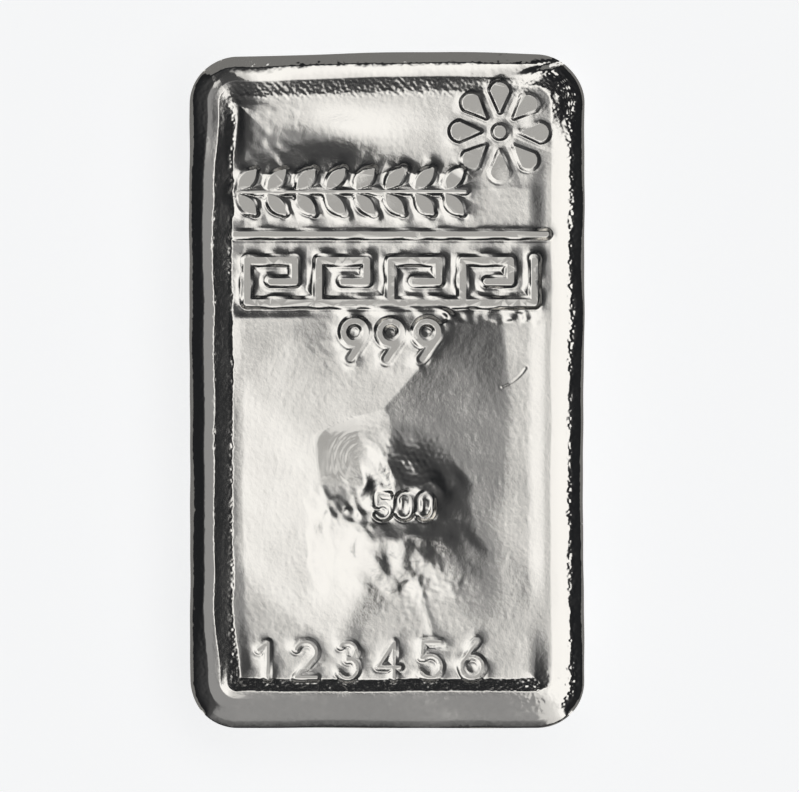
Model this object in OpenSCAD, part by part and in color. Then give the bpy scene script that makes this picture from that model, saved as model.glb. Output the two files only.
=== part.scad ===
// Half-kilogram cast silver bar.
//
// One solid casting, poured into an open mould and left to cool with its poured face up.
// The metal shrinks as it sets, so the face lies below a raised rim, is hollowed in a
// shallow dish towards its lower half and ends there in a deeper sink.
// X runs across the bar, Y along it and Z up. The origin is the middle of the resting face.

/* [Casting] */
// Length of the bar over its widest line
bar_length = 88; // [70:0.5:120]
// Width of the bar over its widest line
bar_width = 51.5; // [44:0.5:80]
// Height of the rim above the resting face
bar_height = 12.1; // [10:0.1:16]
// Radius of the four corners, seen from above
corner_r = 6.2; // [5:0.1:9]
// Slope of the sides, which lets the casting drop out of its mould
draft = 5; // [0:0.5:7]
// Width of the round shoulder between the widest line and the rim's level band
shoulder_w = 2.2; // [1:0.1:3]
// Slope at which the shoulder ends in the crisp edge that the mould's wall leaves
shoulder_slope = 42; // [25:1:60]
// Rounding where the sides turn under into the resting face
base_r = 2.2; // [1:0.1:3.5]

/* [Rim] */
// Width of the rim on the left, from the widest line to where its inner side starts to fall
rim_left = 3.1; // [3:0.1:6]
// Width of the rim on the right
rim_right = 3.6; // [3:0.1:6]
// Width of the rim at the head of the bar
rim_head = 3.4; // [3:0.1:6]
// Width of the rim at the foot of the bar
rim_foot = 4.4; // [3:0.1:6]
// Rounding of the rim's inner edge
rim_inner_r = 1.2; // [0.4:0.1:1.5]
// Slope of the rim's inner side, from the level
rim_slope = 38; // [30:1:45]

/* [Face] */
// Depth of the face below the rim
face_depth = 1.25; // [1.1:0.05:1.8]
// Radius of the face's corners, measured where the rim starts to fall
face_corner_r = 6.4; // [6:0.1:9]
// Rounding at the foot of the rim's inner side
toe_r = 2; // [0.5:0.1:2]

/* [Dish] */
// Distance of the dish from the middle of the bar, along X
dish_x = 0.8; // [-3:0.1:3]
// Distance of the dish from the middle of the bar, along Y
dish_y = -12.5; // [-15:0.1:15]
// Radius of the dish where it meets the face
dish_reach = 18.5; // [8:0.1:19]
// Depth of the dish below the face
dish_depth = 1.5; // [0.5:0.1:2]

/* [Sink] */
// Distance of the sink from the middle of the dish, along X
sink_x = 0.8; // [-3:0.1:3]
// Distance of the sink from the middle of the dish, along Y
sink_y = -1.5; // [-3:0.1:3]
// Radius of the sink at the dish's deepest level
sink_reach = 5.5; // [2:0.1:8]
// Depth of the sink below the dish
sink_depth = 0.9; // [0.3:0.1:1.5]

/* [Hidden] */
$fn = 96;
// Sides of the large spheres that hollow the face
hollow_sides = 360;
// Room that a cutter reaches past the metal, so that it leaves no skin
over = 1;
// How far a hollow's cutter runs out past the hollow's own edge
skirt = 0.4;
face_z = bar_height - face_depth;
shoulder_r = shoulder_w / sin(shoulder_slope);

// The radius of a sphere whose cap is `reach` wide and `depth` deep
function cap_sphere_r(reach, depth) = (reach * reach + depth * depth) / (2 * depth);

// A section carried round a rectangle with round corners. The section is drawn with its own X
// running outwards from the corners' centres, and its Y up.
module carried_round(width, length, radius) {
    run_x = width / 2 - radius;
    run_y = length / 2 - radius;
    for (side = [0, 180]) {
        rotate([0, 0, side])
            translate([run_x, 0, 0])
                rotate([90, 0, 0])
                    linear_extrude(2 * run_y, center = true)
                        children();
        rotate([0, 0, side + 90])
            translate([run_y, 0, 0])
                rotate([90, 0, 0])
                    linear_extrude(2 * run_x, center = true)
                        children();
        rotate([0, 0, side])
            translate([run_x, run_y, 0])
                rotate_extrude(angle = 90)
                    children();
        rotate([0, 0, side + 90])
            translate([run_y, run_x, 0])
                rotate_extrude(angle = 90)
                    children();
    }
}

// Section of the casting's edge: resting face, round foot, drafted side, round shoulder
module edge_section() {
    shoulder = [corner_r - shoulder_w, bar_height - shoulder_r];
    widest = [corner_r, bar_height - shoulder_r * (1 - cos(shoulder_slope))];
    outward = [cos(draft), -sin(draft)];
    // The foot's arc ends where it is in line with the side
    foot_end_z = base_r * (1 - sin(draft));
    foot_end = [widest.x - (widest.y - foot_end_z) * tan(draft), foot_end_z];
    foot = foot_end - base_r * outward;
    polygon([
        [0, 0],
        [foot.x, 0],
        foot_end,
        widest,
        [shoulder.x, bar_height],
        [0, bar_height]
    ]);
    intersection() {
        translate(foot) circle(base_r);
        translate([foot.x, 0]) square(base_r);
    }
    intersection() {
        translate(shoulder) circle(shoulder_r);
        translate([shoulder.x, widest.y]) square(shoulder_w);
    }
}

// The casting before its face sinks
module casting_blank() {
    inner_width = bar_width - 2 * corner_r;
    inner_length = bar_length - 2 * corner_r;
    carried_round(bar_width, bar_length, corner_r) edge_section();
    translate([-inner_width / 2, -inner_length / 2, 0])
        cube([inner_width, inner_length, bar_height]);
}

// Section of the room inside the rim: level face, round toe, sloping side, round inner edge
module recess_section() {
    inward = [-sin(rim_slope), cos(rim_slope)];
    edge = [face_corner_r, bar_height - rim_inner_r];
    edge_end = edge + rim_inner_r * inward;
    // The straight slope runs from the round edge down to where the toe's arc takes over
    toe_end_z = face_z + toe_r * (1 - cos(rim_slope));
    toe_end = [edge_end.x - (edge_end.y - toe_end_z) / tan(rim_slope), toe_end_z];
    toe = toe_end + toe_r * inward;
    difference() {
        union() {
            polygon([
                [0, face_z],
                [toe.x, face_z],
                toe_end,
                edge_end,
                [edge.x, bar_height],
                [edge.x, bar_height + over],
                [0, bar_height + over]
            ]);
            intersection() {
                translate(toe) circle(toe_r);
                translate([0, face_z]) square([edge.x, face_depth]);
            }
        }
        translate(edge) circle(rim_inner_r);
    }
}

// The room that the shrinking metal leaves inside the rim
module face_recess() {
    width = bar_width - rim_left - rim_right;
    length = bar_length - rim_head - rim_foot;
    inner_width = width - 2 * face_corner_r;
    inner_length = length - 2 * face_corner_r;
    translate([(rim_left - rim_right) / 2, (rim_foot - rim_head) / 2, 0]) {
        carried_round(width, length, face_corner_r) recess_section();
        translate([-inner_width / 2, -inner_length / 2, face_z])
            cube([inner_width, inner_length, face_depth + over]);
    }
}

// The lowest cap of a large sphere, which hollows the metal under a level
module hollow(level, reach, depth) {
    r = cap_sphere_r(reach, depth);
    translate([0, 0, level - depth])
        intersection() {
            translate([0, 0, r]) sphere(r, $fn = hollow_sides);
            translate([0, 0, -over]) cylinder(depth + 2 * over, r = reach + skirt);
        }
}

module bar() {
    color("silver")
        difference() {
            casting_blank();
            face_recess();
            translate([dish_x, dish_y, 0]) {
                hollow(face_z, dish_reach, dish_depth);
                translate([sink_x, sink_y, 0])
                    hollow(face_z - dish_depth, sink_reach, sink_depth);
            }
        }
}

bar();
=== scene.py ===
"""Half-kilogram cast silver bar: the visible casting, its silver and its studio."""

import math

import bpy
import numpy as np
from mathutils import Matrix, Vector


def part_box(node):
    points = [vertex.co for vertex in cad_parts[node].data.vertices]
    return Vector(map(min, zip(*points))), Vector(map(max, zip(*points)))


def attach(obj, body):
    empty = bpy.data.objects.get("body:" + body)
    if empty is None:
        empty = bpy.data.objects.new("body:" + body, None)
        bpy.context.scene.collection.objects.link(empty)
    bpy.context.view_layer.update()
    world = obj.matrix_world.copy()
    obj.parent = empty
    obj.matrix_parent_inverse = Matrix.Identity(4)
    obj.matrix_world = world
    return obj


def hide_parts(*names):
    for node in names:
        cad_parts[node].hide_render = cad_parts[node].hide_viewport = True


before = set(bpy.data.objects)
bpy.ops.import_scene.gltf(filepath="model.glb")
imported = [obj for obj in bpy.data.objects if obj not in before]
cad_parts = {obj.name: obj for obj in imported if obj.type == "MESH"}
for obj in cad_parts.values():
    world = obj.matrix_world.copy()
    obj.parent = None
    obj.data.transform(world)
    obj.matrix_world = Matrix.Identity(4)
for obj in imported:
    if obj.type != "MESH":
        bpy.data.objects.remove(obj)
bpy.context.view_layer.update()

# ------------------------------------------------------------------ the casting's rim and face
# One piece of fine silver, poured into an open mould. The metal draws down as it sets: the rim
# against the mould's wall stands highest, and the face inside it sinks towards a shrinkage dish.
# Lengths are in millimetres, places from the bar's middle, and heights from the face's level.
MM = 1000
low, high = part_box("bar")
WIDTH, LENGTH, HEIGHT = ((b - a) * MM for a, b in zip(low, high))
# Radius of the outline's corners, and how far the face's level lies under the bar's full height
CORNER = 6.2
CREST = 1.5


def smooth(value, start, end):
    """Nought before start, one after end, and a cubic ease from the one to the other."""
    t = np.clip((value - start) / (end - start), 0, 1)
    return t * t * (3 - 2 * t)


def waves(x, y, length, seed, count=20):
    """Sum of sine waves of about one length, in seeded directions, with a mean square of one."""
    dice = np.random.default_rng(seed)
    turn = dice.uniform(0, 2 * math.pi, count)
    number = 2 * math.pi / (length * dice.uniform(0.7, 1.5, count))
    phase = dice.uniform(0, 2 * math.pi, count)
    total = np.zeros_like(x)
    for angle, k, shift in zip(turn, number, phase):
        total += np.sin(k * (math.cos(angle) * x + math.sin(angle) * y) + shift)
    return total * math.sqrt(2 / count)


def inset(x, y):
    """Distance in from the outline, which is a rectangle with round corners."""
    qx = np.abs(x) - (WIDTH / 2 - CORNER)
    qy = np.abs(y) - (LENGTH / 2 - CORNER)
    outside = np.hypot(np.maximum(qx, 0), np.maximum(qy, 0))
    return CORNER - outside - np.minimum(np.maximum(qx, qy), 0)


def section(distance, knots):
    """Height over the face at a distance in from the outline, from the slopes that knots gives.

    The slopes run straight from knot to knot and are added up from the outline inwards. The face
    is nought.
    """
    fine = np.linspace(-3, 8, 2201)
    slope = np.interp(fine, *zip(*knots))
    rise = np.concatenate([[0], np.cumsum((slope[1:] + slope[:-1]) / 2)]) * (fine[1] - fine[0])
    return np.interp(distance, fine, rise - rise[-1])


# Slope of the rim at each distance in, for its left, right, head and foot sides: first the
# shoulder, which climbs, then the level band, then the inner side, which falls to the face.
# The corner between the head and the right side is nearly all shoulder
RIM = {
    "left": [(0, 0.88), (0.35, 0.86), (0.45, 0.7), (1.7, 0.6), (1.85, 0.08), (3.1, 0.08),
             (3.12, -0.53), (4.6, -0.5), (4.9, -0.47), (5.6, -0.47), (5.75, 0.1), (6.9, 0.1), (7.3, 0)],
    "right": [(0, 0.88), (0.3, 0.86), (0.4, 0.6), (1.8, 0.5), (2.0, 0.24), (2.9, 0.2), (4.2, 0.12),
              (4.4, 0), (5.4, 0)],
    "head": [(0, 0.84), (1.35, 0.83), (1.45, 0.36), (3.2, 0.06), (3.3, -0.3), (5.1, -0.3), (5.3, 0)],
    "corner": [(0, 0.88), (0.3, 0.86), (0.4, 0.6), (4.1, 0.5), (4.6, 0), (5.4, 0)],
    "foot": [(0, 0.88), (0.15, 0.8), (0.2, 0.19), (0.9, 0.16), (1.1, 0.11), (4.7, 0.11), (4.72, -0.55),
             (6.3, -0.55), (6.5, 0)],
}
# Where each side is ragged: the distance in, how far that reaches either way, and how much
RAGGED = {
    "left": [(1.8, 0.3, 0.01), (3.1, 0.25, 0.03), (5.7, 0.4, 0.05)],
    "right": [(1.9, 0.5, 0.06)],
    "head": [(1.45, 0.3, 0.012), (5.3, 0.9, 0.06)],
    "foot": [(5.6, 1.0, 0.03)],
}


def rim(x, y):
    """Height of the rim over the level it leads down to.

    Each side's own section is weighed by the inverse fifth power of the distance to that side.
    Seeded waves shift where a section is read, most of all at the places that RAGGED gives.
    """
    away = {
        "left": x + WIDTH / 2,
        "right": WIDTH / 2 - x,
        "head": LENGTH / 2 - y,
        "foot": y + LENGTH / 2,
    }
    broad = 0.06 * waves(x, y, 11, 3, 10)
    ragged = 0.5 * waves(x, y, 0.55, 6, 40) + 0.5 * waves(x, y, 1, 4, 30) + 0.8 * waves(x, y, 2.4, 5, 20)
    inward = inset(x, y) + broad
    corner = smooth(y, 31, 38)
    rough = mound(x, y, (22.5, 38), (3.5, 4), 0.045) + mound(x, y, (21, -38), (3.5, 2.5), 0.08)
    # At its ends the left side sinks with the face, and its band widens. The right side rises
    # at the foot
    ends = smooth(np.abs(y), 27, 37)
    rise = {"left": -0.3 * ends * smooth(-inward, -8.5, -6)
            - 0.3 * smooth(y, 28, 33) * smooth(inward, 4.4, 6.3) * smooth(-inward, -10, -6.3),
            "right": (0.5 * smooth(-y, 28, 38) + 0.5 * smooth(-y, 36, 42)) * smooth(-inward, -7.5, -4)}
    shift = {"left": -0.7 * ends * smooth(inward, 0.4, 3.2)}
    total = 0
    weights = 0
    for side, distance in away.items():
        weight = (1 / np.maximum(distance, 0.3)) ** 5
        uneven = 0.008 + rough * smooth(inward, 0.4, 1.2)
        uneven = uneven + sum(
            much * np.exp(-((inward - at) / far) ** 2) for at, far, much in RAGGED[side]
        )
        where = inward + uneven * ragged + shift.get(side, 0)
        level = section(where, RIM[side]) + rise.get(side, 0)
        if side == "right":
            weight = weight * (1 + 2 * corner) ** 5
            level = level * (1 - corner) + section(where, RIM["corner"]) * corner
        total = total + weight * level
        weights = weights + weight
    return total / weights


def mound(x, y, place, size, height):
    """Round hump or hollow: height times the bell curve of the distance, measured in sizes."""
    return height * np.exp(-((x - place[0]) / size[0]) ** 2 - ((y - place[1]) / size[1]) ** 2)


def line_gap(x, y, start, end):
    """Distance from the straight stroke between two points: from the nearest point along it."""
    dx, dy = end[0] - start[0], end[1] - start[1]
    t = np.clip(((x - start[0]) * dx + (y - start[1]) * dy) / (dx * dx + dy * dy), 0, 1)
    return np.hypot(x - start[0] - t * dx, y - start[1] - t * dy)


def arc_gap(x, y, centre, radius, start, sweep):
    """Distance from a round stroke that starts at an angle and sweeps anticlockwise, in degrees."""
    px, py = x - centre[0], y - centre[1]
    on_arc = np.abs(np.hypot(px, py) - radius)
    if sweep >= 360:
        return on_arc
    middle = math.radians(start + sweep / 2)
    half = math.radians(sweep / 2)
    turn = np.abs((np.arctan2(py, px) - middle + math.pi) % (2 * math.pi) - math.pi)
    ends = [
        np.hypot(px - radius * math.cos(angle), py - radius * math.sin(angle))
        for angle in (middle - half, middle + half)
    ]
    return np.where(turn <= half, on_arc, np.minimum(*ends))


def highest(*heights, blur=0.05):
    """Upper envelope of several surfaces: the log of their powers' sum rounds it where two cross."""
    return blur * np.logaddexp.reduce([height / blur for height in heights])


# How steeply the crater falls at each distance from the bar's middle towards the foot
CRATER = [(4, 0), (5.5, 0.12), (8, 0.18), (12.2, 0.24), (13, -0.12), (16.7, -0.2), (17.2, 0.28),
          (19, 0.28), (19.8, -0.19), (26, -0.19), (28, 0)]


def face(x, y):
    """Height of the sunk face over its own level, and a mask of the flat floor that set smooth.

    The shelf at the head and the dish are added, the crater is taken off, and then come the humps,
    ripples, wrinkles and scratches. All of it fades out under the rim.
    """
    # The shelf at the head, which the first row of marks dragged down along its edge
    past = np.maximum(y - 28.3 + 2 * smooth(x, 6, 11) - 0.15 * waves(x, 0 * x, 2.4, 10, 8), 0)
    shelf = 0.42 - 0.008 * x * smooth(past, 0, 4) + mound(x, y, (-6.5, 33.4), (7, 2.9), 0.95)
    shelf = shelf * (1 - np.exp(-past / (1.2 + 2.5 * smooth(x, 6, 11))))
    shelf = shelf + mound(x, y, (-17.5, 39.5), (4, 3), 0.3) + mound(x, y, (20, 37), (1.5, 2), -0.2)
    # Four banks lead down to the dish's floor. The one on the right is a plateau's edge
    ridge = 15.9 - 0.004 * (y + 6) ** 2
    plateau = 0.5 * smooth(x, 8, 15.5) * smooth(y, -32, -22)
    left = -0.1 * (x + 19.8)
    head = -1.05 - 0.055 * (x + 6) + 0.07 * (y + 3.3)
    steeper = 0.8 + 0.14 * np.logaddexp(0, (y + 3) / 2)
    right = 0.5 - 0.12 * (ridge - x) * steeper + 0.16 * np.logaddexp(0, (-17.5 - y) / 2)
    foot = -0.06 * (y + 31) - 0.045 * (x + 10)
    level = -1.05 + 0.015 * (y + 9) - 0.2 * np.logaddexp(0, y + 4)
    dish = highest(highest(left, head, blur=0.08), highest(left, right, foot), level, blur=0.012)
    still = smooth(level - np.maximum(left, head), -0.01, 0.015)
    still = still * smooth(-x, 2.6, 4.2) * smooth(y, -13, -11)
    ends = smooth(np.abs(x + 2.2), 7.0, 10.5)
    shift = 0.25 * waves(x, y, 1.6, 23, 30) - y
    dish = -highest(-dish, -plateau, blur=0.03) * smooth(shift, -18 + 6.6 * ends, -4 - 4.4 * ends)
    dish = dish - 0.3 * smooth(-x, 5, 13) * smooth(-y, -10.4, -9.2) * smooth(y, -4, 6)
    # The crater falls in steps towards the foot. It is deepest on the head's side of the smallest
    # mark, and has a second hollow past it
    along = np.linspace(0, 40, 801)
    fall = np.interp(0.25 * waves(x, y, 3.5, 22, 12) - y, along,
                     np.cumsum(np.interp(along, *zip(*CRATER))) * (along[1] - along[0]))
    bend = x - 0.25 * waves(y, x, 4, 17, 8)
    start, soft = -1.2 - 1.4 * smooth(-y, 12, 17), 2.4 + 2.1 * smooth(-y, 12, 18)
    end, wide = 3.5 + 4.3 * smooth(-y, 6, 12.5), 3.5 + 3 * smooth(-y, 16, 22)
    z = shelf + dish - fall * smooth(bend - start, -soft, soft) * smooth(end - bend, -wide, wide)
    step = 0.55 * smooth(0.2 * waves(x, y, 1.5, 22, 24) - y - 0.5 * x, 16.2, 20.7) * smooth(y, -30, -20)
    z = z - step * smooth(bend, -10.5, -7) * smooth(-bend, -1.5, 4)
    z = z + 0.012 * waves(x, y, 0.8, 24, 40) * mound(x, y, (3.2, -9.8), (4, 3.4), 1)
    z = z + mound(x, y, (-19.6, -36.8), (1.6, 2.4), -0.3) + mound(x, y, (20.3, -37), (2.2, 1.6), -0.2)
    z = z + mound(x, y, (18.2, 10.8), (2.8, 1.1), 0.3) + mound(x, y, (-19, 10.8), (1.6, 1.1), 0.3)
    # The rings left by the last metal to set
    ring = np.hypot(x + 3.2, y + 9.0)
    z = z + 0.003 * np.sin(ring * 2 * math.pi / 0.72) * smooth(ring, 0.8, 2.0) * smooth(-ring, -6, -4)
    # Where the last metal was pasty it set rough: in the crater, along the rim's inner side, and
    # between the crater and the figures at the foot
    z = z + 0.025 * waves(x, y, 1.8, 14, 30) * mound(x, y, (-4.8, -14.6), (3, 3), 1)
    wrinkles = 0.008 * waves(x, y, 0.6, 18, 40) * smooth(-inset(x, y), -6.2, -5.2)
    z = z + wrinkles * smooth(inset(x, y), 3.2, 3.6)
    z = z + 0.007 * waves(x, y, 1.0, 15, 40) * mound(x, y, (5, -25), (7, 5), 1)
    # Fine streaks round the dish, and across its slope at the head
    out, turn = np.hypot(x - 2, 0.8 * (y + 13)), 14 * np.arctan2(y + 13, x - 2)
    z = z + 0.001 * waves(out, 0.12 * turn, 0.9, 19, 30) * smooth(out, 4, 9)
    z = z + 0.0016 * waves(x + y, 0.16 * (x - y), 1.2, 20, 30) * mound(x, y, (-6, 3), (6, 6), 1)
    # A fold that runs from the dish to the figures, and a curved scratch
    fold = line_gap(x, y, (4.6, -27.4), (6.6, -33.5)) + 0.1 * waves(x, y, 2, 16)
    z = z - 0.05 * np.exp(-((fold / 0.5) ** 2))
    scratch = arc_gap(x, y, (13.2, 5.9), 5.8, -72, 40)
    z = z - 0.05 * np.exp(-((scratch / 0.14) ** 2)) + 0.01 * np.exp(-(((scratch - 0.3) / 0.15) ** 2))
    # The swell of the whole skin, which the smooth floor hardly has, and ripples on the shelf
    swell = 0.012 * waves(x, y, 9, 11) + 0.005 * waves(x, y, 3.1, 12)
    swell = swell + 0.0022 * waves(x, y, 0.9, 13, 60)
    z = z + swell * (1 - 0.9 * still)
    z = z + 0.012 * waves(x, y, 1.8, 21, 30) * mound(x, y, (-15, 33), (4, 5), 1)
    # Under the rim the relief fades out, but six tenths of the plateau's height stays
    at_head = smooth(y, 32, 36) * smooth(WIDTH / 2 - np.abs(x), 2, 9)
    within = np.maximum(smooth(inset(x, y), 4.9, 7.4), at_head)
    return within * z + 0.6 * (1 - within) * plateau, still


# ------------------------------------------------------------------ the struck marks
# The figures and ornaments are struck into the cold face with steel punches. Each has a level
# floor, a short wall and a lip, and the face is dragged down around it.


def nine(flip=1):
    """A ring and its straight tail; turned half round, it is a six."""
    return [("arc", (0, 0.95 * flip), 1.42, 0, 360),
            ("line", (1.26 * flip, 0.3 * flip), (-0.62 * flip, -2.4 * flip))]


FIGURES = {
    "0": [("arc", (0, 1.0), 1.35, 0, 180), ("arc", (0, -1.0), 1.35, 180, 180),
          ("line", (1.35, 1.0), (1.35, -1.0)), ("line", (-1.35, 1.0), (-1.35, -1.0))],
    "1": [("line", (0.4, 2.35), (0.4, -2.35)), ("line", (0.4, 2.35), (-0.9, 1.35))],
    "2": [("arc", (0, 1.0), 1.35, -35, 200), ("line", (1.1, 0.22), (-1.35, -2.35)),
          ("line", (-1.35, -2.35), (1.35, -2.35))],
    "3": [("arc", (0, 1.2), 1.15, -90, 235), ("arc", (0, -1.05), 1.3, -145, 235)],
    "4": [("line", (0.65, 2.35), (0.65, -2.35)), ("line", (0.65, 2.35), (-1.4, -0.95)),
          ("line", (-1.4, -0.95), (1.45, -0.95))],
    "5": [("line", (-1.05, 2.35), (1.2, 2.35)), ("line", (-1.05, 2.35), (-1.2, 0.2)),
          ("arc", (-0.05, -0.9), 1.45, -145, 275)],
    "6": nine(-1),
    "9": nine(),
}


def stroke_gap(x, y, strokes, place, scale=1, lean=0):
    """Distance from the nearest stroke of a figure that is set at a place, at a scale and a lean."""
    c, s = math.cos(math.radians(lean)), math.sin(math.radians(lean))
    px, py = (x - place[0]) / scale, (y - place[1]) / scale
    px, py = c * px + s * py, c * py - s * px
    gap = np.full_like(x, 99.0)
    for kind, *shape in strokes:
        gap = np.minimum(gap, {"line": line_gap, "arc": arc_gap}[kind](px, py, *shape))
    return gap * scale


def leaf_gap(x, y, place, lean, reach, width):
    """Distance from a pointed leaf's midrib, less the width that the leaf has there."""
    c, s = math.cos(math.radians(lean)), math.sin(math.radians(lean))
    along = c * (x - place[0]) + s * (y - place[1])
    across = c * (y - place[1]) - s * (x - place[0])
    t = np.clip(along / reach, -1, 1)
    return np.hypot(across, along - reach * t) + width * t * t


def garland_gap(x, y):
    """Distance from a row of paired leaves on a stem, which is thinner than they are."""
    stem, pitch, lean = 25.85, 3.85, 48
    gap = line_gap(x, y, (-19.6, stem), (10.2, stem)) + 0.7
    for number in range(8):
        left = -18.2 + pitch * number
        for side in (-1, 1):
            leaf = leaf_gap(x, y, (left, stem + side * 1.7), side * lean, 1.6, 0.65)
            gap = np.minimum(gap, leaf)
    return gap


def divider_gap(x, y):
    """Distance from the straight line that divides the marks."""
    return line_gap(x, y, (-19.7, 20.25), (20.8, 20.25))


def key_gap(x, y):
    """Distance from a running key: a base line, and hooks that climb from it and turn back inside."""
    step, high, turn = 3.12, 5.5, 2.75
    strokes = [("line", (0, 0), (12 * step, 0)), ("line", (12 * step, 0), (12 * step, high))]
    for number in range(4):
        left = 3 * number * step
        path = [(left, 0), (left, high), (left + 2 * step, high), (left + 2 * step, turn),
                (left + step, turn)]
        strokes += [("line", a, b) for a, b in zip(path, path[1:])]
    return stroke_gap(x, y, strokes, (-18.2, 11.35))


def rosette_gap(x, y):
    """Distance from eight petals that widen outwards round a boss, less what their width adds.

    Every place is turned into one petal's own sector. That petal is a stroke from its start along
    its reach, with a width that grows along it.
    """
    px, py = x - 14.7, y - 33.7
    start, reach, widening, boss = 2.6, 2.6, 1.2, 0.8
    turn = np.arctan2(py, px)
    petal = (turn + math.pi / 8) % (math.pi / 4) - math.pi / 8
    out = np.hypot(px, py)
    ax, ay = out * np.cos(petal), out * np.sin(petal)
    t = np.clip((ax - start) / reach, 0, 1)
    gap = np.hypot(ax - start - reach * t, ay) - widening * t
    return np.minimum(gap, out - boss)


# Each mark: the corners of the box it lies in, its distance function, half its stroke's width, the
# level of its floor, how far it drags the face down, how far that reaches, and how high the lip
# at its foot stands
MARKS = [
    ((-21, 23), (12, 29), garland_gap, 1.28, -0.3, 0.2, 0.75, 0.1),
    ((8, 27), (21, 41), rosette_gap, 0.43, 0.0, 0.1, 0.7, 0.06),
    ((-21, 19), (22, 21.5), divider_gap, 0.8, -0.22, 0.1, 0.4, 0.1),
    ((-20, 10.5), (21, 17.5), key_gap, 0.85, -0.36, 0.22, 0.65, 0.1),
]


def strike(text, start, pitch, scale, half, depth, drag, fade, lip, seed):
    """Adds a row of figures to MARKS, each struck by hand: a little off its line and off upright."""
    dice = np.random.default_rng(seed)
    for number, figure in enumerate(text):
        place = (start[0] + number * pitch, start[1] + dice.uniform(-0.08, 0.08))
        lean = dice.uniform(-1.5, 1.5)
        level = face(*np.reshape(place, (2, 1)))[0][0] - depth

        def gap_of(x, y, strokes=FIGURES[figure], place=place, lean=lean):
            return stroke_gap(x, y, strokes, place, scale, lean)

        low = (place[0] - 2.3 * scale, place[1] - 3 * scale)
        high = (place[0] + 2.3 * scale, place[1] + 3 * scale)
        MARKS.append((low, high, gap_of, half, level, drag, fade, lip))


strike("999", (-4.15, 6.55), 4.7, 1.03, 0.78, 0.2, 0.14, 0.65, 0.1, 1)
strike("500", (-0.5, -15.1), 2.75, 0.66, 0.52, 0.1, 0.1, 0.8, 0.1, 2)
strike("123456", (-15.9, -35.1), 5.4, 0.98, 0.62, 0.2, 0.12, 0.7, 0.08, 3)


def struck(x, y, z):
    """The face with every mark struck into it, and a mask of the floors that the punches smoothed.

    Outside a stroke the face is drawn down by an amount that fades with the distance. A low lip
    stands along the stroke's edge towards the foot. Inside, a short wall leads to a level floor.
    """
    z = z.copy()
    floors = np.zeros_like(z)
    for low, high, gap_of, half, level, drag, fade, lip in MARKS:
        reach = 4 * fade
        near = (x > low[0] - reach) & (x < high[0] + reach)
        near = near & (y > low[1] - reach) & (y < high[1] + reach)
        px, py, pz = x[near], y[near], z[near]
        edge = gap_of(px, py) - half
        below = np.clip((edge + half - gap_of(px, py + 0.05)) / 0.05, 0, 1)
        ragged = np.maximum(1 + 0.45 * waves(px, py, 3.2, 41, 24), 0)
        pz = pz - drag * ragged * np.clip(1 - np.maximum(edge, 0) / reach, 0, 1) ** 4
        pz = pz + lip * below * np.exp(-(((edge - 0.02) / 0.22) ** 2)) * (0.8 + 0.2 * ragged)
        wall = np.clip(0.1 - edge / 0.45, 0, 1)
        z[near] = pz * (1 - wall) + level * wall
        floors[near] = np.maximum(floors[near], smooth(wall, 0.8, 1))
    return z, floors


def surface(x, y):
    """Height of the bar's upper side over its resting face, and how smooth it is there.

    It is smooth on the outer part of the rim, on the punches' floors and on the dish's still floor.
    """
    z, still = face(x, y)
    z, floors = struck(x, y, z + rim(x, y))
    band = 1 - smooth(inset(x, y) - 1.5 * smooth(-y, 37, 39.5), 2.8, 3.3)
    return HEIGHT - CREST + z, np.maximum(np.maximum(floors, band), still)


# ------------------------------------------------------------------ mesh
# The bar is one closed skin: a grid over the sunk face, rings out over the rim to the bar's
# edge, then rings down the sides and in under the base. Every quarter turn of a corner is a fan.
CORE = np.array([WIDTH / 2 - CORNER, LENGTH / 2 - CORNER])
DRAFT = math.tan(math.radians(5))
BASE_R = 2.2
SIDE_RIPPLE = 0.05
SKIN_TRIANGLES = 190000


def spaced(stops, count):
    """Places from the first stop to the last, with steps in proportion to those at the stops."""
    place, step = np.transpose(stops)
    fine = np.linspace(place[0], place[-1], 8000)
    passed = np.concatenate([[0], np.cumsum(1 / np.interp(fine[1:], place, step))])
    return np.interp(np.linspace(0, passed[-1], count), passed, fine)


def bowed(x, y):
    """Plan place of a point once the sides are bowed as the mould left them.

    Each side is drawn in by its own bow, which fades towards the bar's middle.
    """
    head = 0.6 * smooth(np.abs(x - 6), 2, 26)
    left = 0.12 * smooth(np.abs(y - 20), 3, 32)
    right = 0.2 * smooth(-np.abs(y + 12), -26, 0)
    to_head, to_foot = smooth(y, 20, 44), smooth(-y, 20, 44)
    to_left, to_right = smooth(-x, 10, 25), smooth(x, 10, 25)
    edge = 0.06 + 0.02 * waves(x, y, 9, 21, 3)
    shift_x = (left + edge) * to_left - (right + edge) * to_right
    shift_y = edge * to_foot - (head + edge) * to_head
    return x + shift_x, y + shift_y


columns = spaced([(-CORE[0], 1), (CORE[0], 1)], 392)
rows = spaced([(-CORE[1], 1), (-31.6, 1), (-30.4, 2), (-19, 2), (-18, 1), (-12, 1), (-11, 2),
               (0.5, 2), (2.5, 1), (CORE[1], 1)], 604)
grid_x, grid_y = np.meshgrid(columns, rows)
index = np.arange(grid_x.size).reshape(grid_x.shape)
skin = np.stack([index[:-1, :-1], index[:-1, 1:], index[1:, 1:], index[1:, :-1]], -1).reshape(-1, 4)
faces = skin.tolist()
plan = [np.stack([grid_x.ravel(), grid_y.ravel()], 1)]

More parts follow.
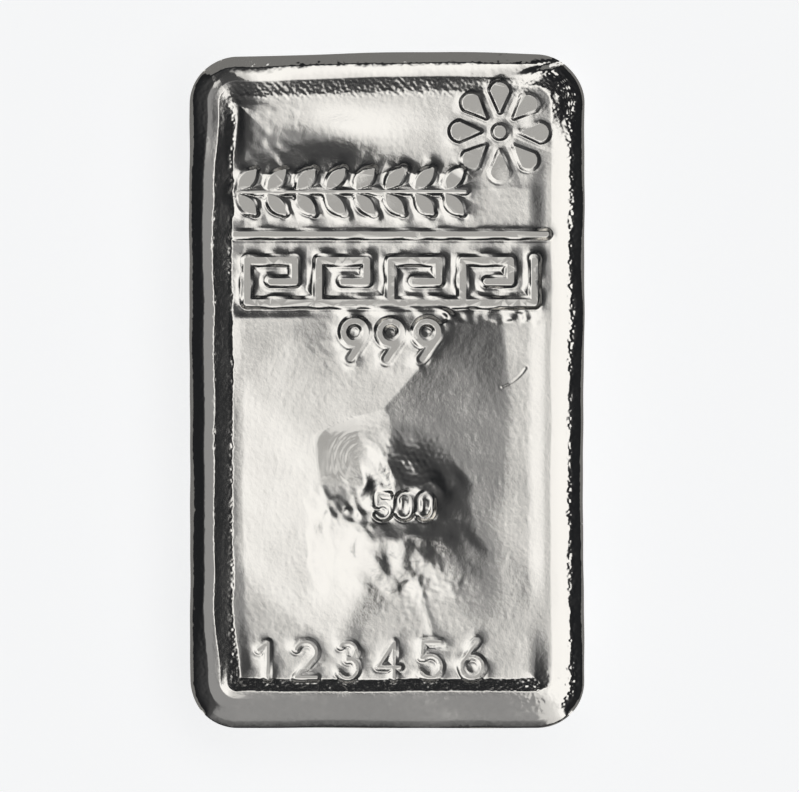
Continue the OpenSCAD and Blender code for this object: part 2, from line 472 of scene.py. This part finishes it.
# Once round the grid's border: each side's points look straight out, and a fan turns each corner
fan = np.linspace(0, math.pi / 2, 58)[1:-1]
border, facing = [], []
for turn, side in enumerate([index[0], index[:, -1], index[-1, ::-1], index[::-1, 0]]):
    out = (turn - 1) * math.pi / 2
    border += [side, np.full(fan.size, side[-1])]
    facing += [np.full(side.size, out), out + fan]
border, facing = np.concatenate(border), np.concatenate(facing)
foot = plan[0][border]
out = np.stack([np.cos(facing), np.sin(facing)], 1)


def band(inner, outer):
    """Faces between two rings of the same count; where the inner one stands still, triangles."""
    quads = np.stack([outer, np.roll(outer, -1), np.roll(inner, -1), inner], 1).tolist()
    return [quad if quad[2] != quad[3] else quad[:3] for quad in quads]


def halving(inner, outer):
    """Faces between a ring and one of half its count."""
    even, odd, after = inner[::2], inner[1::2], np.roll(inner[::2], -1)
    return np.stack([outer, np.roll(outer, -1), after, odd, even], 1).tolist()


# Rings over the rim, as distances in from the bar's edge. Those beyond the struck marks need
# only half the points
MARKS_END = 4.1
rim_rings = spaced([(CORNER, 1), (1, 1), (0, 0.7)], 57)[1:]
ring = border
count = grid_x.size
for reach in rim_rings:
    half = reach < MARKS_END and ring.size == border.size
    if half:
        foot, out = foot[::2], out[::2]
    plan.append(foot + out * (CORNER - reach))
    fresh = count + np.arange(len(foot))
    faces += halving(ring, fresh) if half else band(ring, fresh)
    ring = fresh
    count += len(foot)

x, y = np.concatenate(plan).T
z, polish = surface(x, y)
x, y = bowed(x, y)
points = [np.stack([x, y, z], 1)]

# Rings down the sides, round the base's fillet and in under it: each is a height over the floor
# and a distance in from the edge, which the draft and the fillet give
edge, out = points[0][ring][::2], out[::2]
turned = np.radians([0, 18, 36, 54, 72, 90])
drop = [edge[:, 2] - step for step in (0.12, 0.4, 1.2, 2.4, 3.8, 5.4, 7.0)]
side_z = drop + [BASE_R * (1 - math.sin(turn)) + 0 * edge[:, 2] for turn in turned]
side_in = [0 * edge[:, 2]] * len(drop) + [BASE_R * (1 - math.cos(turn)) for turn in turned]
for level, inward in zip(side_z, side_in):
    inward = inward + DRAFT * (edge[:, 2] - np.maximum(level, BASE_R))
    ripple = waves(edge[:, 0] + edge[:, 1], level, 7, 31, 3)
    inward = inward + SIDE_RIPPLE * smooth(edge[:, 2] - level, 0.3, 2) * (1 + ripple)
    points.append(np.column_stack([edge[:, :2] - out * inward[:, None], level]))
for share in (0.12, 0.3, 0.55, 0.8):
    last = points[len(drop) + len(turned)]
    points.append(last * [1 - share, 1 - share, 0])
for number, rings in enumerate(points[1:]):
    fresh = count + np.arange(len(rings))
    faces += band(ring, fresh) if number else halving(ring, fresh)
    ring = fresh
    count += len(rings)
points.append(np.zeros((1, 3)))
faces += np.stack([np.full(ring.size, count), np.roll(ring, -1), ring], 1).tolist()

mesh = bpy.data.meshes.new("cast_bar")
mesh.from_pydata(np.concatenate(points) / MM, [], faces)
mesh.shade_smooth()
# Polish is one where the upper side is smooth and nought where it froze freely. It is minus one
# on the sides and the base, which the mould's wall shaped
smoothness = mesh.attributes.new("polish", "FLOAT", "POINT")
moulded = np.full(len(mesh.vertices) - polish.size, -1)
smoothness.data.foreach_set("value", np.concatenate([polish, moulded]).astype(np.float32))
bar = bpy.data.objects.new("cast_bar", mesh)
bpy.context.scene.collection.objects.link(bar)

# The grid is as fine as the punches' edges everywhere. Where the skin is smooth, Decimate takes
# it down to far fewer and larger triangles
mesh.calc_loop_triangles()
thin = bar.modifiers.new("thin", "DECIMATE")
thin.ratio = SKIN_TRIANGLES / len(mesh.loop_triangles)
thinned = bpy.data.meshes.new_from_object(bar.evaluated_get(bpy.context.evaluated_depsgraph_get()))
bar.modifiers.remove(thin)
bar.data = thinned
bpy.data.meshes.remove(mesh)
thinned.name = "cast_bar"


def read(raster, x, y):
    """Value of the raster at each place, from the four points round it by their distances."""
    column = (x - raster_x[0]) / STEP
    row = (y - raster_y[0]) / STEP
    i, j = row.astype(int), column.astype(int)
    v, u = row - i, column - j
    low = raster[i, j] * (1 - u) + raster[i, j + 1] * u
    return low * (1 - v) + (raster[i + 1, j] * (1 - u) + raster[i + 1, j + 1] * u) * v


def crisp_normals(mesh):
    """Normals for the corners of the upper side's faces, from the slopes of the surface itself.

    Each is read a fifth of the way in from the corner to the middle of its face, or a tenth of a
    millimetre if that is more, but at most two fifths of the way, so that a crease between two
    faces stays a crease. A face is the upper side's if it faces up enough, and it has to face up
    more near the outline.
    """
    corner = np.zeros(len(mesh.loops), int)
    mesh.loops.foreach_get("vertex_index", corner)
    total = np.zeros(len(mesh.polygons), int)
    mesh.polygons.foreach_get("loop_total", total)
    place = np.zeros(len(mesh.vertices) * 3)
    mesh.vertices.foreach_get("co", place)
    place = place.reshape(-1, 3)[corner] * MM
    centre = np.zeros((len(total), 3))
    facing = np.zeros((len(total), 3))
    mesh.polygons.foreach_get("center", centre.ravel())
    mesh.polygons.foreach_get("normal", facing.ravel())
    normal = np.zeros((len(corner), 3))
    mesh.corner_normals.foreach_get("vector", normal.ravel())
    inward = np.repeat(centre * MM, total, 0) - place
    length = np.linalg.norm(inward, axis=1, keepdims=True)
    seen = place + inward * np.clip(0.1 / length, 0.2, 0.4)
    # The slopes are known on the plan before its sides are bowed, so each place is taken back to
    # that plan, closer with every step
    real_x, real_y = seen[:, 0], seen[:, 1]
    x, y = real_x, real_y
    for _ in range(3):
        bowed_x, bowed_y = bowed(x, y)
        x, y = x + real_x - bowed_x, y + real_y - bowed_y
    at_edge = inset(*centre[:, :2].T * MM) < EDGE_WIDTH
    upper = np.repeat(facing[:, 2] > np.where(at_edge, UP_AT_EDGE, UP_WITHIN), total)
    slope = np.column_stack([-read(slope_x, x[upper], y[upper]), -read(slope_y, x[upper], y[upper])])
    normal[upper] = np.column_stack([slope, np.ones(len(slope))])
    return normal / np.linalg.norm(normal, axis=1, keepdims=True)


# A face is the upper side's where the upward part of its normal is over UP_WITHIN, or over
# UP_AT_EDGE in a strip of this width along the outline
EDGE_WIDTH = 1.5
UP_AT_EDGE = 0.6
UP_WITHIN = 0.35
# The slopes are worked out on a raster that reaches a little past the outline
STEP = 0.08
PAST = 0.5
raster_x = np.arange(-WIDTH / 2 - PAST, WIDTH / 2 + PAST, STEP)
raster_y = np.arange(-LENGTH / 2 - PAST, LENGTH / 2 + PAST, STEP)
slope_y, slope_x = np.gradient(surface(*np.meshgrid(raster_x, raster_y))[0], STEP)
thinned.normals_split_custom_set(crisp_normals(thinned))
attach(bar, "root")
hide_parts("bar")


# ------------------------------------------------------------------ silver
# Fine silver as it froze in the mould: bright and slightly rippled, with a fine grain where the
# skin shrank, and smooth where the punches pressed it.

# Linear colours: the two that the free skin's patches vary between, and the mould's dull film
BRIGHT = ((0.93, 0.9, 0.85), (0.97, 0.945, 0.89))
DULL = (0.55, 0.545, 0.525)
# In metres: how far the grain is raised. The waves on the sides stand this many times higher
GRAIN_HEIGHT = 0.00002
SIDE_WAVES = 14.0


def calc(tree, operation, *values):
    """Output of a Math node on the values, each a socket or a number."""
    node = tree.nodes.new("ShaderNodeMath")
    node.operation = operation
    for socket, value in zip(node.inputs, values):
        if isinstance(value, bpy.types.NodeSocket):
            tree.links.new(value, socket)
        else:
            socket.default_value = value
    return node.outputs[0]


def ease(tree, value, start, end, low=0.0, high=1.0):
    """Output of a Map Range node that rises smoothly from low at start to high at end."""
    node = tree.nodes.new("ShaderNodeMapRange")
    node.interpolation_type = "SMOOTHSTEP"
    tree.links.new(value, node.inputs["Value"])
    for name, number in (("From Min", start), ("From Max", end), ("To Min", low), ("To Max", high)):
        node.inputs[name].default_value = number
    return node.outputs["Result"]


def blend(tree, factor, first, second):
    """Output of a Mix node between two colours, each a socket or a linear RGB triple."""
    node = tree.nodes.new("ShaderNodeMix")
    node.data_type = "RGBA"
    tree.links.new(factor, node.inputs["Factor"])
    for socket, value in ((node.inputs["A"], first), (node.inputs["B"], second)):
        if isinstance(value, bpy.types.NodeSocket):
            tree.links.new(value, socket)
        else:
            socket.default_value = (*value, 1)
    return node.outputs["Result"]


def noise(tree, place, size, detail=2.0, rough=0.5):
    """Output of a Noise node whose features are about size metres across."""
    node = tree.nodes.new("ShaderNodeTexNoise")
    node.inputs["Scale"].default_value = 1 / size
    node.inputs["Detail"].default_value = detail
    node.inputs["Roughness"].default_value = rough
    tree.links.new(place, node.inputs["Vector"])
    return node.outputs["Fac"]


silver = bpy.data.materials.new("silver")
silver.use_nodes = True
tree = silver.node_tree
shader = tree.nodes["Principled BSDF"]
shader.inputs["Metallic"].default_value = 1
place = tree.nodes.new("ShaderNodeTexCoord").outputs["Object"]
worn = tree.nodes.new("ShaderNodeAttribute")
worn.attribute_name = "polish"
polish_out = worn.outputs["Fac"]
skin_grain = noise(tree, place, 0.00045, 4, 0.6)
patches = noise(tree, place, 0.006, 3)
# The free skin's roughness follows its grain, and polish takes it down to a mirror's
roughness = calc(tree, "MULTIPLY_ADD", skin_grain, 0.12, 0.1)
roughness = calc(tree, "MULTIPLY_ADD", polish_out, -0.1, roughness)
# Where the mould's wall touched it, polish is minus one, and the silver is dull and uneven
mould = calc(tree, "MAXIMUM", calc(tree, "MULTIPLY", polish_out, -1.0), 0.0)
roughness = calc(tree, "MULTIPLY_ADD", mould, 0.08, roughness)
tree.links.new(calc(tree, "MAXIMUM", roughness, 0.07), shader.inputs["Roughness"])
shade = blend(tree, patches, *BRIGHT)
film = calc(tree, "MULTIPLY", mould, ease(tree, noise(tree, place, 0.0016, 5, 0.7), 0.3, 0.7))
shade = blend(tree, film, shade, DULL)
tree.links.new(shade, shader.inputs["Base Color"])
# The grain stands up on the free skin, and wider waves where the mould's wall was
bump = tree.nodes.new("ShaderNodeBump")
bump.inputs["Strength"].default_value = 1
bump.inputs["Distance"].default_value = GRAIN_HEIGHT
grain = calc(tree, "MULTIPLY", skin_grain, calc(tree, "SUBTRACT", 1.0, polish_out))
uneven = calc(tree, "MULTIPLY", noise(tree, place, 0.003, 3),
              calc(tree, "MULTIPLY", mould, SIDE_WAVES))
tree.links.new(calc(tree, "ADD", grain, uneven), bump.inputs["Height"])
tree.links.new(bump.outputs["Normal"], shader.inputs["Normal"])
bar.data.materials.append(silver)


# ------------------------------------------------------------------ floor
# A large plain pale floor, on which the bar lies. It is set a hair lower than the bar's base, so
# that the two don't share a plane. Its sizes are in metres.
FLOOR_REACH = 8
FLOOR_Z = -0.00002
FLOOR_SHOWN = 0.8
floor_mesh = bpy.data.meshes.new("floor")
floor_mesh.from_pydata([(side_x * FLOOR_REACH, side_y * FLOOR_REACH, FLOOR_Z)
                        for side_x, side_y in ((-1, -1), (1, -1), (1, 1), (-1, 1))],
                       [], [(0, 1, 2, 3)])
floor = bpy.data.objects.new("floor", floor_mesh)
bpy.context.scene.collection.objects.link(floor)
pale = bpy.data.materials.new("pale_floor")
pale.use_nodes = True
tree = pale.node_tree
shader = tree.nodes["Principled BSDF"]
shader.inputs["Base Color"].default_value = (0.5, 0.5, 0.505, 1)
shader.inputs["Roughness"].default_value = 1
shader.inputs["Specular IOR Level"].default_value = 0
shader.inputs["Emission Color"].default_value = (0.985, 0.993, 1, 1)
# To the camera and in reflections the floor shows nearly white, and it lights nothing else
ray = tree.nodes.new("ShaderNodeLightPath")
seen = calc(tree, "ADD", ray.outputs["Is Camera Ray"], ray.outputs["Is Glossy Ray"])
seen = calc(tree, "ADD", seen, ray.outputs["Is Transmission Ray"])
tree.links.new(calc(tree, "MULTIPLY", seen, FLOOR_SHOWN), shader.inputs["Emission Strength"])
floor_mesh.materials.append(pale)


# ------------------------------------------------------------------ studio
# A large white panel hangs over the head and right of the bar, in a dark room. Each direction
# of the sky is taken by the tilt, in degrees, that a level mirror needs to show it.

# How far the panel is turned from the right towards the head, and the linear colours of the room
# from overhead outwards, of the panel from its near side outwards, and of the backdrop
PANEL_TURN = math.radians(27)
ROOM = ((0.275, 0.278, 0.285), (0.062, 0.063, 0.066), (0.014, 0.015, 0.017))
PANEL = ((0.6, 0.6, 0.6), (1.0, 1.0, 1.0))
OVERHEAD = (0.38, 0.38, 0.38)
LOW_DOWN = (0.18, 0.18, 0.18)
BACKDROP = (0.9, 0.91, 0.92)
world = bpy.data.worlds.new("studio")
world.use_nodes = True
bpy.context.scene.world = world
tree = world.node_tree
sky = tree.nodes.new("ShaderNodeTexCoord").outputs["Generated"]
parts = tree.nodes.new("ShaderNodeSeparateXYZ")
tree.links.new(sky, parts.inputs[0])
up = calc(tree, "MAXIMUM", calc(tree, "ADD", parts.outputs["Z"], 1), 0.05)
tilt_x = calc(tree, "DIVIDE", parts.outputs["X"], up)
tilt_y = calc(tree, "DIVIDE", parts.outputs["Y"], up)
square = calc(tree, "MULTIPLY_ADD", tilt_x, tilt_x, calc(tree, "MULTIPLY", tilt_y, tilt_y))
tilt = calc(tree, "DEGREES", calc(tree, "ARCTANGENT", calc(tree, "SQRT", square)))
across = calc(tree, "MULTIPLY_ADD", tilt_x, math.cos(PANEL_TURN),
              calc(tree, "MULTIPLY", tilt_y, math.sin(PANEL_TURN)))
across = calc(tree, "DEGREES", calc(tree, "ARCTANGENT", across))
# The room darkens outwards in two steps
room = blend(tree, ease(tree, tilt, 5.5, 12.5), ROOM[0], ROOM[1])
room = blend(tree, ease(tree, tilt, 12.5, 33), room, ROOM[2])
# The panel starts sharply, brightens across, and ends softly far out
panel = blend(tree, ease(tree, across, -3, 8), *PANEL)
on_panel = calc(tree, "MULTIPLY", ease(tree, across, -2.6, -1.8), ease(tree, tilt, 17, 23, 1, 0))
shade = blend(tree, on_panel, room, panel)
# A grey round place straight overhead, a grey ring low down, and a pale backdrop for the camera
shade = blend(tree, ease(tree, tilt, 0.9, 1.3, 1, 0), shade, OVERHEAD)
shade = blend(tree, ease(tree, tilt, 37, 39), shade, LOW_DOWN)
ray = tree.nodes.new("ShaderNodeLightPath")
shade = blend(tree, ray.outputs["Is Camera Ray"], shade, BACKDROP)
tree.links.new(shade, tree.nodes["Background"].inputs["Color"])

# The camera hangs high over the bar, with a long lens. In metres: how high it hangs over the bar's
# top, how wide a field it sees there, and where it hangs. In millimetres: its sensor's width
CAMERA_UP = 3
FIELD = 0.1038
CAMERA_AT = (0.00164, -0.00078)
SENSOR = 36
camera = bpy.data.objects.new("camera", bpy.data.cameras.new("camera"))
bpy.context.scene.collection.objects.link(camera)
camera.data.sensor_width = SENSOR
camera.location = (*CAMERA_AT, high[2] + CAMERA_UP)
camera.data.lens = SENSOR * CAMERA_UP / FIELD
camera.data.clip_end = 50
bpy.context.scene.camera = camera
bpy.context.scene.view_settings.view_transform = "Standard"
